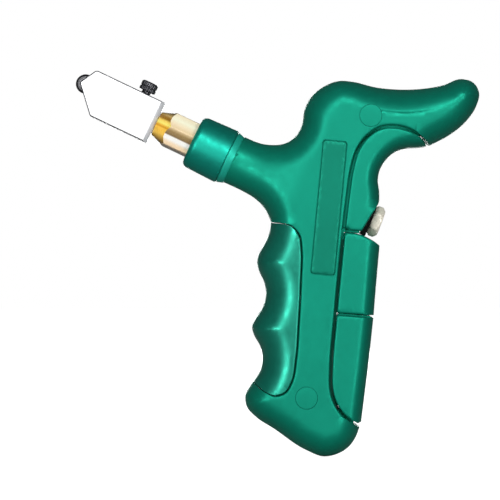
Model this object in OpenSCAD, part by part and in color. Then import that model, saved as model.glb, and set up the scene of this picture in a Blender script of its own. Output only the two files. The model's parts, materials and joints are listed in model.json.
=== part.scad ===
// Hand-held glass cutter with a pistol-shaped handle.
// Front view in the X-Z plane, thickness along Y, standing on the butt of the handle.

/* [Handle] */
// Thickness of the handle, side face to side face
handle_t = 28; // [27:0.5:32]
// Thickness of the moulded shell walls
wall_t = 2.6; // [2.2:0.1:3]
// Width of the gap between the handle and the rear pieces
gap_w = 1; // [0.9:0.1:1.2]
// Lean of the handle's back, in degrees from upright
handle_lean = 5.4; // [5:0.1:6]

/* [Neck] */
// Angle of the neck above level, in degrees
neck_rise = 25.5; // [24:0.5:27]
// Outer diameter of the lock collar at its rear end
collar_d = 20.2; // [19.5:0.1:21]
// Outer diameter of the threaded nose that carries the collar
nose_d = 13.8; // [13.4:0.1:13.8]
// Diameter of the shank's tail in the neck bush
tail_d = 9; // [8:0.5:10]

/* [Shank] */
// Width of the brass hexagon across its flats
hex_af = 12.2; // [11:0.1:12.3]
// Turn of the hexagon about the neck, in degrees
hex_turn = 38; // [0:1:60]
// Diameter of the cone's small end
cone_d = 9; // [7:0.5:10]
// Diameter of the stem that the cutting head slides on
stem_d = 5; // [4:0.5:5.5]

/* [Cutting head] */
// Thickness of the head block
head_t = 8; // [7.5:0.5:8.5]
// Radius of the cutting wheel
wheel_r = 3.5; // [3:0.1:3.6]
// Width of the cutting wheel
wheel_w = 2; // [1.5:0.1:2.2]
// Diameter of the wheel's axle
axle_d = 1.4; // [1:0.1:1.6]
// Diameter of the thumbscrew's knurled knob
knob_d = 6.1; // [5:0.1:6.4]

/* [Breaking notch] */
// Width of the hexagon bolt's head across its flats
bolt_af = 10; // [9:0.5:10]
// Thread diameter of the hexagon bolt
bolt_d = 6; // [5:0.5:6]
// Slope of the bolt below level, in degrees
bolt_fall = 21; // [19:1:22]

/* [Storage doors] */
// Diameter of the pin that both doors swing on
pin_d = 1.5; // [1.2:0.1:1.6]
// Thickness of the door walls
door_wall = 2.6; // [2.2:0.1:2.8]

/* [Hidden] */
$fn = 48;

half_t = handle_t / 2;
cavity_t = half_t - wall_t;
tiny = 0.01;

// Reference points, as [x, z] in the plane of the handle
neck_point = [-28.7, 112.7];    // on the neck axis, at the collar's front
back_point = [20.4, 50.5];      // on the gap, where the two doors meet
bolt_point = [33.7, 85.1];      // under the bolt's head
wheel_point = [1.8, 29];        // wheel centre in the head block's own frame
knob_z = 8;                     // thumbscrew axis in the head block's own frame
screw_points = [[33, 122], [10.2, 21.6]];

// Stations along the neck, measured towards the head from neck_point
shell_end = -14.5;
ring_end = -11.9;
collar_front = 2;
hex_start = -2.5;
cone_start = 10.8;
shoulder_l = 1.3;
head_start = 16.6;
bush_end = -38;
stem_l = 14;

// Layers that step the rounded edges: from, to and inset, as parts of the half thickness
edge_layers = [[0, 0.74, 0], [0.74, 0.91, 1], [0.91, 1, 2.6]];

// Spare heads lie in the tray, the upper one deeper, in the frame of the handle's back
spare_x = [-4.7, 0];
spare_y = -2.5;
spare_z = [-0.3, -34.6];
tray_front = [-9.4, -4.5];
tray_foot = [-1.1, -35.4];
tray_top = [33.1, -1.1];
tray_back = -0.5;
tray_wall = 0.4;
window_back = 4.3;

// Lips that close the gaps below the surface: half width and clearance
lip_y = 10.3;
lip_gap = 0.15;

// Door pin, as [x, y] in the frame of the handle's back
pin_at = [2.1, 12.4];

// ---- curves ----

function unit(v) = v / norm(v);
function reverse(p) = [for (i = [len(p) - 1 : -1 : 0]) p[i]];
function chord(p, i) = norm(p[i + 1] - p[i]);

// Direction of a smooth curve at its point i, weighted by the chords on both sides
function heading(p, i) =
    i == 0 ? unit(p[1] - p[0])
    : i == len(p) - 1 ? unit(p[i] - p[i - 1])
    : let (d0 = chord(p, i - 1), d1 = chord(p, i))
      ((p[i + 1] - p[i]) * d0 / d1 + (p[i] - p[i - 1]) * d1 / d0) / (d0 + d1);

function blend_point(p, i, t) =
    let (d = chord(p, i), t2 = t * t, t3 = t * t * t)
    (2 * t3 - 3 * t2 + 1) * p[i] + (t3 - 2 * t2 + t) * d * heading(p, i)
    + (3 * t2 - 2 * t3) * p[i + 1] + (t3 - t2) * d * heading(p, i + 1);

// Smooth curve through the points, with n steps to a span
function curve(p, n = 3) =
    [for (i = [0 : len(p) - 2], k = [0 : n - 1]) blend_point(p, i, k / n), p[len(p) - 1]];

// Normal on the right-hand side of the way from a to b
function right_of(a, b) = let (d = unit(b - a)) [d[1], -d[0]];

// An open curve moved to its right by d
function shift(p, d) =
    let (last = len(p) - 1)
    [for (i = [0 : last])
        let (u = right_of(p[max(i - 1, 0)], p[max(i, 1)]),
             v = right_of(p[min(i, last - 1)], p[min(i + 1, last)]))
        p[i] + d * (u + v) / (1 + u * v)];

function above(p, low) = [for (q = p) if (q[1] > low) q];
function between(p, low, high) = [for (q = above(p, low)) if (q[1] < high) q];

// Corner b between a and c, rounded to radius r
function corner(a, b, c, r, n = 6) =
    let (u = unit(a - b), v = unit(c - b), half = acos(u * v) / 2,
         centre = b + unit(u + v) * r / sin(half),
         s = b + u * r / tan(half) - centre, e = b + v * r / tan(half) - centre,
         from = atan2(s[1], s[0]), turn = (atan2(e[1], e[0]) - from + 540) % 360 - 180)
    [for (k = [0 : n]) centre + r * [cos(from + turn * k / n), sin(from + turn * k / n)]];

function rounded(p, radii) =
    let (n = len(p))
    [for (i = [0 : n - 1]) each corner(p[(i + n - 1) % n], p[i], p[(i + 1) % n], radii[i])];

// ---- outlines in the plane of the handle, clockwise ----

// Top of the neck, over the hump and the palm horn, to the horn's lower corner
top_run = curve([
    [-11.7, 114.8], [-6.5, 112.7], [-2, 112], [2.5, 112.5], [6.4, 115], [8.6, 118.8],
    [9.8, 125], [12.2, 129.4], [16.3, 132.8], [22, 135], [27, 134.7], [35, 132.8],
    [43, 131.9], [52, 132.2], [59.6, 133.5], [66, 135.7], [70.5, 134.3], [72.5, 130.5],
    [71.5, 126], [67, 119.6], [61.5, 115.3], [54.6, 111.7]
]);

// Middle of the gap between the handle and the rear pieces, from the horn to the butt
gap_run = curve([
    [54, 111.6], [48.8, 115.9], [42.5, 118], [36.5, 117.6], [32, 114.8], [28.2, 109.5],
    [26.4, 103.5], [24.8, 93], [22.3, 70.4], [20.4, 50.5], [18.9, 32], [18.9, 25.4],
    [20, 20.7], [23.2, 15.6], [29.6, 11.2]
]);

// Round the butt to the foot of the finger grip
butt_run = curve([
    [29.4, 10.4], [28.5, 7.8], [25.5, 3.4], [20.6, 0.6], [16.5, 0], [10.2, 2.3],
    [-1.4, 10], [-7.8, 14.2], [-11, 17.8], [-11.6, 21.7], [-9.2, 26.4]
]);

// Inner edge of the finger grip, upwards
grip_run = curve([
    [-8.8, 26.7], [-4, 23.2], [-0.8, 22.2], [2.6, 23.3], [5.1, 27.2], [6.6, 35],
    [7.6, 48], [8.4, 64], [8.6, 74], [7.6, 79.8], [4.6, 82.9], [-2.4, 84.3]
]);

// Lower side of the neck, to the collar ring
neck_run = curve([[-2.6, 85], [-4.4, 88.8], [-8, 92.6], [-13, 95.6], [-19.4, 98.6]]);

// Four finger grooves, downwards
finger_run = curve([
    [-2.5, 83.9], [-2.9, 80.8], [-4.6, 76.6], [-6.9, 72.3], [-7.4, 69.5], [-6.6, 66.5],
    [-4.8, 62.5], [-4.2, 58.2], [-5.2, 54], [-8, 49.4], [-9.2, 46.6], [-8.6, 44],
    [-6.2, 39.5], [-5.4, 35.7], [-6.2, 31], [-8.7, 27]
]);

// Back of the upper pad, from the horn down to its lower tip
pad_run = curve([
    [53.2, 111.4], [50, 111], [46.5, 110.8], [43, 109.8], [40.4, 108.1], [38.2, 105.7],
    [36.5, 102.6], [35.9, 99.1], [36.4, 95], [36.4, 91.8]
]);
pad_tip = [29.8, 80.9];
pad_foot = [24.3, 81.4];

middle_back = [[36.5, 75.7], [35.2, 60.8], [34.4, 50.9]];
middle_top = [[24.2, 80.5], [29.4, 79.7]];
lower_back = [[34.3, 50], [32.7, 35.1], [31.1, 22.2], [29.9, 12.8]];

// The handle's outline, with its rounded sides moved in by d
function handle_outline(d = 0) = concat(
    shift(top_run, d), shift(gap_run, gap_w / 2), shift(butt_run, d), grip_run,
    shift(neck_run, d));

function grip_outline(d = 0) = concat(
    [for (q = grip_run) if (q[0] > (q[1] > 50 ? -2.5 : -8.9) + 1.4 * d) q], shift(finger_run, -d));

// The rear pieces follow the gap on one side and are rounded at the back
rear_gap = reverse(shift(gap_run, -gap_w / 2));

function pad_outline(d = 0) = concat(
    [for (q = shift(pad_run, d)) if (q[0] < 53.5 - 1.5 * d) q], [pad_tip, pad_foot],
    [for (q = above(rear_gap, 81.6)) if (q[0] < 52 - 1.6 * d) q]);

function middle_outline(d = 0) = concat(
    middle_top, shift(curve(middle_back), d), [[21.4, 51.9]], between(rear_gap, 52, 80.2));

function lower_outline(d = 0) = concat(
    [[21.2, 51.1]], above(shift(curve(lower_back), d), 12.4 + d), between(rear_gap, 12.4 + d, 50.6));

// Strip along part of the gap, from its handle side to its rear side
function gap_strip(p, front, rear) = concat(shift(p, front), reverse(shift(p, -rear)));
pad_gap = [for (q = above(gap_run, 81.8)) if (q[0] < 51) q];
door_gap = between(gap_run, 18.6, 84);
butt_gap = [for (q = gap_run) if (q[1] < 18.4 && q[0] < 27.4) q];

// Inside of the handle, behind the neck, in the horn and down to the butt
cavity_outline = [
    [13.5, 124], [17, 129.5], [24, 132], [44, 128.8], [60, 130], [68, 130], [66, 123.5],
    [56, 117.8], [50, 118.8], [42, 121.2], [34, 120.8], [28.5, 116.5], [24.6, 110],
    [22, 98], [19.2, 70], [16.2, 40], [15.9, 24], [17.5, 18.5], [23, 11.5], [23.5, 6.5],
    [18, 3.2], [12, 4.8], [-2, 14], [-6, 18.3], [-1, 19.4], [4.4, 20.6], [7.8, 25.4],
    [9.4, 36], [11.2, 64], [11.4, 76], [10, 82.4], [6, 87], [6, 100], [9.5, 110]
];

head_outline = rounded([
    [-8, 0], [7.9, 0], [7.9, 27.3], [1.4, 31], [-8, 22.4]
], [0.6, 0.6, 1.6, 1.2, 1]);

// ---- frames ----

module in_plane(p) translate([p[0], 0, p[1]]) children();

// Z runs along the neck towards the head, X points to the thumbscrew side
module neck_frame() in_plane(neck_point) rotate([0, neck_rise - 90, 0]) children();

// Z runs up the gap, X points rearwards
module back_frame() in_plane(back_point) rotate([0, handle_lean, 0]) children();

// Z points out of the notch along the bolt
module bolt_frame() in_plane(bolt_point) rotate([0, 90 + bolt_fall, 0]) children();

module head_frame() neck_frame() translate([0, 0, head_start]) children();

module spare_frame(i) back_frame() translate([spare_x[i], spare_y, spare_z[i]]) rotate([0, 0, 90]) children();

// ---- shared shapes ----

// A flat outline given thickness from y0 to y1
module slab(p, y0, y1) rotate([90, 0, 0]) translate([0, 0, -y1]) linear_extrude(y1 - y0) polygon(p);

// A box from one corner to the opposite corner
module block(a, b) translate(a) cube(b - a);

module ring(d, bore, h) difference() {
    cylinder(h = h, d = d);
    translate([0, 0, -1]) cylinder(h = h + 2, d = bore);
}

// One handle half on the +Y side
module shell_half() difference() {
    union() {
        difference() {
            for (l = edge_layers) slab(handle_outline(l[2]), l[0] * half_t, l[1] * half_t);
            slab(cavity_outline, -1, cavity_t);
            neck_taper();
        }
        intersection() {
            for (p = screw_points) in_plane(p) rotate([-90, 0, 0]) cylinder(h = half_t - 1, r = 3);
            slab(handle_outline(), 0, half_t);
        }
        slab(gap_strip(butt_gap, gap_w / 2 + 1, gap_w / 2 - lip_gap), 0, lip_y);
    }
    neck_bores();
    for (i = [0, 1]) tray_block(i, window_back, 0);
    back_frame() translate([-10, half_t - 0.6, 14.6]) cube([8.2, 1, 47.4]);
    bolt_frame() translate([0, 0, -30]) cylinder(h = 30, d = 9);
}

// Cuts the side of the neck down to the size of the collar ring
module neck_taper() neck_frame() translate([0, 0, shell_end]) rotate([90, 0, 90])
    translate([0, 0, -20]) linear_extrude(40)
    polygon([[9.4, 1], [9.4, 0], [half_t + tiny, -26], [half_t + 2, -26], [half_t + 2, 1]]);

module neck_bores() neck_frame() {
    translate([0, 0, bush_end]) cylinder(h = 40, d = 15);
    translate([0, 0, -43]) cylinder(h = 6, d = 14);
}

module screw_bores(y0) for (p = screw_points) in_plane(p) rotate([-90, 0, 0])
    translate([0, 0, y0]) cylinder(h = 40, d = 3);

module pin_bore(d) back_frame() translate([pin_at[0], pin_at[1], -35.5]) cylinder(h = 71.5, d = d);

// ---- sub-parts ----

module body_shell_left() color([0.09, 0.6, 0.49]) difference() {
    mirror([0, 1, 0]) shell_half();
    screw_bores(-30);
    for (p = screw_points) in_plane(p) rotate([90, 0, 0]) {
        translate([0, 0, half_t - 1.6]) cylinder(h = 5, d = 8);
        translate([0, 0, half_t - 4]) cylinder(h = 5, d = 5.6);
    }
}

module body_shell_right() color([0.09, 0.6, 0.49]) difference() {
    shell_half();
    screw_bores(-26.5);
    pin_bore(pin_d);
    // Room for the lower door's corner to turn round its pin
    back_frame() translate([pin_at[0], pin_at[1], -32.7]) cylinder(h = 8.8, r = 2.55);
}

module finger_grip() color([0.07, 0.45, 0.37])
    for (side = [0, 1]) mirror([0, side, 0])
        for (l = edge_layers) slab(grip_outline(l[2]), l[0] * half_t, l[1] * half_t);

module back_pad() color([0.08, 0.55, 0.45]) difference() {
    union() {
        for (side = [0, 1]) mirror([0, side, 0])
            for (l = edge_layers) slab(pad_outline(l[2]), l[0] * half_t, l[1] * half_t);
        slab(gap_strip(pad_gap, gap_w / 2 - lip_gap, gap_w / 2 + 1), -lip_y, lip_y);
        back_frame() block([-0.35, -lip_y, 30.4], [5.8, lip_y, 31.8]);
        back_frame() block([-0.35, -lip_y, 27.2], [0.35, lip_y, 30.5]);
    }
    bolt_frame() translate([0, 0, -30]) cylinder(h = 40, d = bolt_d + 0.4);
    bolt_frame() translate([0, 0, -30]) cylinder(h = 18.1, d = 9.3);
    pin_bore(pin_d);
}

// Black wedge between the notch face and the bolt's head
module notch_buffer() color([0.06, 0.06, 0.06]) difference() {
    slab([[35.6, 90.4], [35.22, 89.45], [32.14, 81.38], [31.3, 79.3], [29.5, 80.2], [29.9, 80.75]], -6, 6);
    bolt_frame() translate([0, 0, -20]) cylinder(h = 40, d = bolt_d + 0.4);
}

module bolt_insert() color([0.8, 0.62, 0.3]) bolt_frame() translate([0, 0, -20]) ring(9, bolt_d + 0.2, 8);

module hex_bolt() color([0.9, 0.82, 0.66]) bolt_frame() {
    difference() {
        union() {
            cylinder(h = 3, d = bolt_af / cos(30), $fn = 6);
            translate([0, 0, 3]) cylinder(h = 0.8, d1 = bolt_af, d2 = bolt_af - 1.6);
        }
        translate([0, 0, 2.6]) ring(7, 4.4, 2);
    }
    translate([0, 0, -18]) cylinder(h = 18 + tiny, d = bolt_d);
}

module side_plate(side) mirror([0, side, 0]) back_frame()
    translate([-10, half_t - 0.6, 14.6]) cube([8.2, 0.6, 47.4]);

module side_plate_left() color([0.08, 0.52, 0.43]) side_plate(1);
module side_plate_right() color([0.08, 0.52, 0.43]) side_plate(0);

module screw_caps() color([0.09, 0.58, 0.48])
    for (p = screw_points) in_plane(p) rotate([90, 0, 0])
        translate([0, 0, half_t - 1.6]) cylinder(h = 1.6, d = 8);

module shell_screws() color([0.7, 0.7, 0.72])
    for (p = screw_points) in_plane(p) rotate([90, 0, 0]) {
        translate([0, 0, half_t - 4]) cylinder(h = 2.2, d = 5.4);
        translate([0, 0, -12]) cylinder(h = half_t + 8.5, d = 3);
    }

// Ring that clamps the shells' front ends, tapering from the collar to the neck
module collar_ring() color([0.16, 0.66, 0.55]) neck_frame() difference() {
    translate([0, 0, shell_end + 0.15])
        cylinder(h = ring_end - shell_end - 0.15, d1 = 18, d2 = collar_d - 0.6);
    translate([0, 0, -30]) cylinder(h = 60, d = nose_d + 0.1);
}

module neck_bush() color([0.75, 0.75, 0.77]) neck_frame() difference() {
    union() {
        translate([0, 0, bush_end]) cylinder(h = shell_end - bush_end, d = 15);
        translate([0, 0, shell_end - tiny]) cylinder(h = 11.5, d = nose_d);
    }
    translate([0, 0, -50]) cylinder(h = 60, d = tail_d + 0.1);
}

module lock_collar() color([0.12, 0.72, 0.62]) neck_frame() rotate_extrude() polygon(concat(
    [[nose_d / 2 + 0.15, ring_end + 0.3], [collar_d / 2, ring_end + 0.3]],
    corner([collar_d / 2, ring_end], [collar_d / 2 - 0.4, collar_front], [0, collar_front + 0.4], 1.8),
    [[7.4, collar_front + 0.2], [7.4, hex_start - 0.3], [nose_d / 2 + 0.15, hex_start - 0.3]]
));

module brass_shank() color([0.86, 0.66, 0.3]) neck_frame() difference() {
    union() {
        rotate(hex_turn) {
            translate([0, 0, hex_start])
                cylinder(h = cone_start - hex_start + tiny, d = hex_af / cos(30), $fn = 6);
            intersection() {
                translate([0, 0, cone_start - tiny]) cylinder(h = 3, d = hex_af / cos(30), $fn = 6);
                translate([0, 0, cone_start])
                    cylinder(h = shoulder_l, d1 = hex_af / cos(30) + 0.2, d2 = hex_af - 0.1);
            }
        }
        translate([0, 0, cone_start + shoulder_l])
            cylinder(h = head_start - 0.2 - cone_start - shoulder_l, d1 = hex_af - 0.1, d2 = cone_d);
        translate([0, 0, bush_end - 3]) cylinder(h = hex_start - bush_end + 3.5, d = tail_d);
        translate([0, 0, cone_start]) cylinder(h = head_start + stem_l - cone_start, d = stem_d);
    }
    translate([0, 0, bush_end - 1.6]) ring(20, tail_d - 2, 0.9);
}

module shank_clip() color([0.35, 0.35, 0.37]) neck_frame()
    translate([0, 0, bush_end - 1.5]) ring(12.6, tail_d - 1.9, 0.7);

module cutter_block() difference() {
    rotate([90, 0, 0]) translate([0, 0, -head_t / 2]) linear_extrude(head_t) polygon(head_outline);
    translate([0, 0, -1]) cylinder(h = stem_l + 2, d = stem_d + 0.1);
    translate([0, 0, knob_z]) rotate([0, 90, 0]) cylinder(h = 10, d = 3.1);
    translate([wheel_point[0], 0, wheel_point[1]]) rotate([90, 0, 0]) {
        translate([0, 0, -wheel_w / 2 - 0.15]) cylinder(h = wheel_w + 0.3, r = wheel_r + 0.35);
        translate([0, 0, -10]) cylinder(h = 20, d = axle_d);
    }
}

module axle() translate([wheel_point[0], head_t / 2, wheel_point[1]])
    rotate([90, 0, 0]) cylinder(h = head_t, d = axle_d);

// Disc with a sharp rim
module wheel() translate([wheel_point[0], 0, wheel_point[1]]) rotate([90, 0, 0]) rotate_extrude()
    polygon([
        [axle_d / 2 + 0.05, -wheel_w / 2], [wheel_r - 0.8, -wheel_w / 2], [wheel_r, -0.1],
        [wheel_r, 0.1], [wheel_r - 0.8, wheel_w / 2], [axle_d / 2 + 0.05, wheel_w / 2]
    ]);

module clamp_screw() translate([0, 0, knob_z]) rotate([0, 90, 0]) {
    translate([0, 0, stem_d / 2 + 0.1]) cylinder(h = 6, d = 2.9);
    translate([0, 0, 8.1]) cylinder(h = 0.7, d = 3.4);
    translate([0, 0, 8.8]) cylinder(h = 2.8, d = knob_d);
    translate([0, 0, 11.6 - tiny]) cylinder(h = 0.8, d = knob_d - 0.8);
}

module head_block() color([0.85, 0.86, 0.88]) head_frame() cutter_block();
module wheel_axle() color([0.5, 0.5, 0.52]) head_frame() axle();
module cutting_wheel() color([0.12, 0.12, 0.13]) head_frame() wheel();
module thumbscrew() color([0.1, 0.1, 0.1]) head_frame() clamp_screw();

// One pocket's room in the tray, from its front to x, drawn in by a wall
module tray_block(i, x, wall) back_frame()
    block([tray_front[i] + wall, -cavity_t + wall, tray_foot[i] + wall], [x, cavity_t - wall, tray_top[i] - wall]);

module storage_tray() color([0.04, 0.24, 0.2]) {
    difference() {
        for (i = [0, 1]) tray_block(i, tray_back, 0);
        for (i = [0, 1]) tray_block(i, window_back, tray_wall);
    }
    slab(gap_strip(door_gap, gap_w / 2 + 0.8, gap_w / 2 - lip_gap), -11.1, -10.6);
}

module door_pin() color([0.7, 0.7, 0.72]) back_frame()
    translate([pin_at[0], pin_at[1], -35]) cylinder(h = 70.5, d = pin_d);

module door_middle() color([0.09, 0.6, 0.49]) difference() {
    for (side = [0, 1]) mirror([0, side, 0])
        for (l = edge_layers) slab(middle_outline(l[2]), l[0] * half_t, l[1] * half_t);
    back_frame() {
        block([-2, -half_t + door_wall, 2.4], [11.2, half_t - door_wall, 25.4]);
        block([-2, -half_t + door_wall, 27.8], [15, half_t - door_wall, 40]);
    }
    pin_bore(pin_d + 0.1);
}

module door_lower() color([0.09, 0.6, 0.49]) difference() {
    union() {
        for (side = [0, 1]) mirror([0, side, 0])
            for (l = edge_layers) slab(lower_outline(l[2]), l[0] * half_t, l[1] * half_t);
        back_frame() block([1, -lip_y, 0], [12.6, lip_y, 1.34]);
    }
    back_frame() block([-2, -half_t + door_wall, -32], [11.2, half_t - door_wall, -1.6]);
    pin_bore(pin_d + 0.1);
}

module spare_block_upper() color([0.85, 0.86, 0.88]) spare_frame(0) cutter_block();
module spare_block_lower() color([0.85, 0.86, 0.88]) spare_frame(1) cutter_block();
module spare_axles() color([0.5, 0.5, 0.52]) for (i = [0, 1]) spare_frame(i) axle();
module spare_wheel_upper() color([0.12, 0.12, 0.13]) spare_frame(0) wheel();
module spare_wheel_lower() color([0.12, 0.12, 0.13]) spare_frame(1) wheel();
module spare_thumbscrew_upper() color([0.1, 0.1, 0.1]) spare_frame(0) clamp_screw();
module spare_thumbscrew_lower() color([0.1, 0.1, 0.1]) spare_frame(1) clamp_screw();

body_shell_left();
body_shell_right();
finger_grip();
back_pad();
notch_buffer();
bolt_insert();
hex_bolt();
side_plate_left();
side_plate_right();
screw_caps();
shell_screws();
collar_ring();
neck_bush();
lock_collar();
brass_shank();
shank_clip();
head_block();
wheel_axle();
cutting_wheel();
thumbscrew();
storage_tray();
door_pin();
door_middle();
door_lower();
spare_block_upper();
spare_block_lower();
spare_axles();
spare_wheel_upper();
spare_wheel_lower();
spare_thumbscrew_upper();
spare_thumbscrew_lower();
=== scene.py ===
"""Looks of the pistol-handled glass cutter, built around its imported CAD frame."""

import json
import math

import bmesh
import bpy
import numpy as np
from mathutils import Matrix, Vector
from mathutils.geometry import delaunay_2d_cdt


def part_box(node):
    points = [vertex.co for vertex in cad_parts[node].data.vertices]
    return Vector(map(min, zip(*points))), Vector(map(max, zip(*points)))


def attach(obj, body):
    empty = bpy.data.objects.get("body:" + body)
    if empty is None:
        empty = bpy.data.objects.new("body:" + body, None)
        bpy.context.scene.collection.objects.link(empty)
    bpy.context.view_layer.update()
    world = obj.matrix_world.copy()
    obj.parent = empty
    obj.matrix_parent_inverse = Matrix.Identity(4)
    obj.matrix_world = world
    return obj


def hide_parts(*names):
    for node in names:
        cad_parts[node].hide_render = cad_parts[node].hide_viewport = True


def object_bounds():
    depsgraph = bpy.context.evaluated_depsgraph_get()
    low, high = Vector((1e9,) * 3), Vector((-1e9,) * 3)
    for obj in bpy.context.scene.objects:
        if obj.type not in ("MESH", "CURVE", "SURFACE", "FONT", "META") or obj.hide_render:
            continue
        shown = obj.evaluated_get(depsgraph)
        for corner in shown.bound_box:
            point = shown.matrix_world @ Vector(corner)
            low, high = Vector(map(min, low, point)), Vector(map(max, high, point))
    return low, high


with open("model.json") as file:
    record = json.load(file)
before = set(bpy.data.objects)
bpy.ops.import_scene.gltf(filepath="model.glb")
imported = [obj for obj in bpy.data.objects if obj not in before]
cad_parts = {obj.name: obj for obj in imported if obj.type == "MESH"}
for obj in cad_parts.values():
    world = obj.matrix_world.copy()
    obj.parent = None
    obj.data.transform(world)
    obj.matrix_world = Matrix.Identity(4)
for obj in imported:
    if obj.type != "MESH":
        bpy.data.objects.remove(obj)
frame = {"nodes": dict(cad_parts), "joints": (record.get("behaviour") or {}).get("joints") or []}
cad_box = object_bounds()

MM = 0.001
JOINTS = {j["name"]: j for j in frame["joints"]}

# ---------------------------------------------------------------- driving sizes, in millimetres
HALF_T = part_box("body_shell_right")[1][1] / MM
STEP = 0.8  # between the points of an outline
GAP = 1.0  # between the body and the parts behind it
# Roundings: their width in the plane of the handle, then their height across it
BODY_ROUND = (8.6, 13.4)
GRIP_ROUND = (11.0, 13.3)
BACK_ROUND = (5.0, 9.0)
SHARP_ROUND = 0.65
# The handle's neck: where its mouth is, half its thickness there, and how long it takes to swell
NECK_MOUTH = -14.5
NECK_HALF = 9.4
NECK_BLEND = 26.0
COLLAR_R = 10.1
CAP_R = 4.0
PLATE_SIZE = (8.2, 47.4)
PLATE_RECESS = 0.9
CAP_RECESS = 1.5
# Half thickness of the cavity, of the windows behind it and of the lips that hide the gap
CAVITY_T = 8.6
WINDOW_T = HALF_T - 2.66
LIP_T = 10.3
LIP_GAP = 0.15
DOOR_WALL = 2.6
SHARP_ANGLE = 38  # degrees; flatter edges are shaded smooth


# ---------------------------------------------------------------- frames, taken from the joints
def joint_frame(joint, x_hint):
    """Frame at a joint, in millimetres: Z along its axis, X as near x_hint as it can be."""
    z = Vector(JOINTS[joint]["axis"]).normalized()
    x = Vector(x_hint)
    x = (x - z * x.dot(z)).normalized()
    turn = Matrix((x, z.cross(x), z)).transposed().to_4x4()
    return Matrix.Translation(Vector(JOINTS[joint]["pos_m"]) / MM) @ turn


NECK = joint_frame("head_swivel", (0, 0, 1))
HEAD = NECK @ Matrix.Translation((0, 0, 16.6))
BOLT = joint_frame("bolt_turn", (0, 0, 1))
PIN = joint_frame("lower_door_hinge", (1, 0, 0))
PIN_AT = (2.1, 12.4)
PIN_R = 0.78
PIN_BORE = (-35.5, 36)
BACK = PIN @ Matrix.Translation((-PIN_AT[0], -PIN_AT[1], 0))
SPARE_AT = {"upper": (-4.7, -0.3), "lower": (0, -34.6)}
PLANE = Matrix(((1, 0, 0, 0), (0, 0, -1, 0), (0, 1, 0, 0), (0, 0, 0, 1)))
SIDES = {"left": Matrix.Identity(4), "right": Matrix.Scale(-1, 4, (0, 1, 0))}
QUARTER_X = Matrix.Rotation(math.radians(90), 4, "X")
QUARTER_Y = Matrix.Rotation(math.radians(90), 4, "Y")
QUARTER_Z = Matrix.Rotation(math.radians(90), 4, "Z")
NECK_POINT = np.array([NECK.translation.x, NECK.translation.z])
NECK_DIR = np.array([NECK.col[2][0], NECK.col[2][2]])


def spare_frame(side):
    """Frame of a spare head in the tray, turned flat against it."""
    x, z = SPARE_AT[side]
    return BACK @ Matrix.Translation((x, -2.5, z)) @ QUARTER_Z


# ---------------------------------------------------------------- smooth outlines
def smooth(points):
    """Smooth curve through the points, with its own points about one step apart."""
    first_step = 0.2
    p = np.array(points, float)
    chord = np.linalg.norm(np.diff(p, axis=0), axis=1)
    way = np.diff(p, axis=0) / chord[:, None]
    heading = np.vstack([way[:1], way[-1:]])
    if len(p) > 2:
        d0, d1 = chord[:-1, None], chord[1:, None]
        middle = (way[1:] * d0 + way[:-1] * d1) / (d0 + d1)
        heading = np.vstack([way[:1], middle, way[-1:]])
    out = []
    for i, d in enumerate(chord):
        n = max(2, int(round(d / first_step)))
        t = (np.arange(n) / n)[:, None]
        out.append(
            (2 * t**3 - 3 * t**2 + 1) * p[i]
            + (t**3 - 2 * t**2 + t) * d * heading[i]
            + (3 * t**2 - 2 * t**3) * p[i + 1]
            + (t**3 - t**2) * d * heading[i + 1]
        )
    return respace(np.vstack(out + [p[-1:]]))


def respace(p):
    """The same open line with points one even step apart, both ends kept."""
    length = np.concatenate([[0], np.cumsum(np.linalg.norm(np.diff(p, axis=0), axis=1))])
    n = max(1, int(round(length[-1] / STEP)))
    at = np.linspace(0, length[-1], n + 1)
    return np.column_stack([np.interp(at, length, p[:, 0]), np.interp(at, length, p[:, 1])])


def line(*points):
    return respace(np.array(points, float))


def closed_line(points):
    """The closed outline through the points, with straight sides divided into steps."""
    after = np.roll(points, -1, axis=0)
    return np.vstack([respace(np.vstack([a, b]))[:-1] for a, b in zip(points, after)])


def shift(p, d):
    """An open line moved to its right by d."""
    way = np.gradient(p, axis=0)
    way /= np.linalg.norm(way, axis=1)[:, None]
    return p + d * np.column_stack([way[:, 1], -way[:, 0]])


def arc(centre, radius, start, end, n=8):
    a = np.radians(np.linspace(start, end, n + 1))
    return np.array(centre) + radius * np.column_stack([np.cos(a), np.sin(a)])


def circle(centre, radius):
    """Closed outline with 48 points."""
    return arc(centre, radius, 0, 360 * 47 / 48, 47)


def rounded(points, radii):
    """Closed outline with every corner rounded to its own radius."""
    p = [np.array(q, float) for q in points]
    out = []
    for i, b in enumerate(p):
        u = (p[i - 1] - b) / np.linalg.norm(p[i - 1] - b)
        v = (p[(i + 1) % len(p)] - b) / np.linalg.norm(p[(i + 1) % len(p)] - b)
        half = math.acos(float(u @ v)) / 2
        centre = b + (u + v) / np.linalg.norm(u + v) * radii[i] / math.sin(half)
        s, e = (b + w * radii[i] / math.tan(half) - centre for w in (u, v))
        start = math.degrees(math.atan2(s[1], s[0]))
        turn = (math.degrees(math.atan2(e[1], e[0])) - start + 540) % 360 - 180
        out.append(arc(centre, radii[i], start, start + turn))
    return np.vstack(out)


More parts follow.
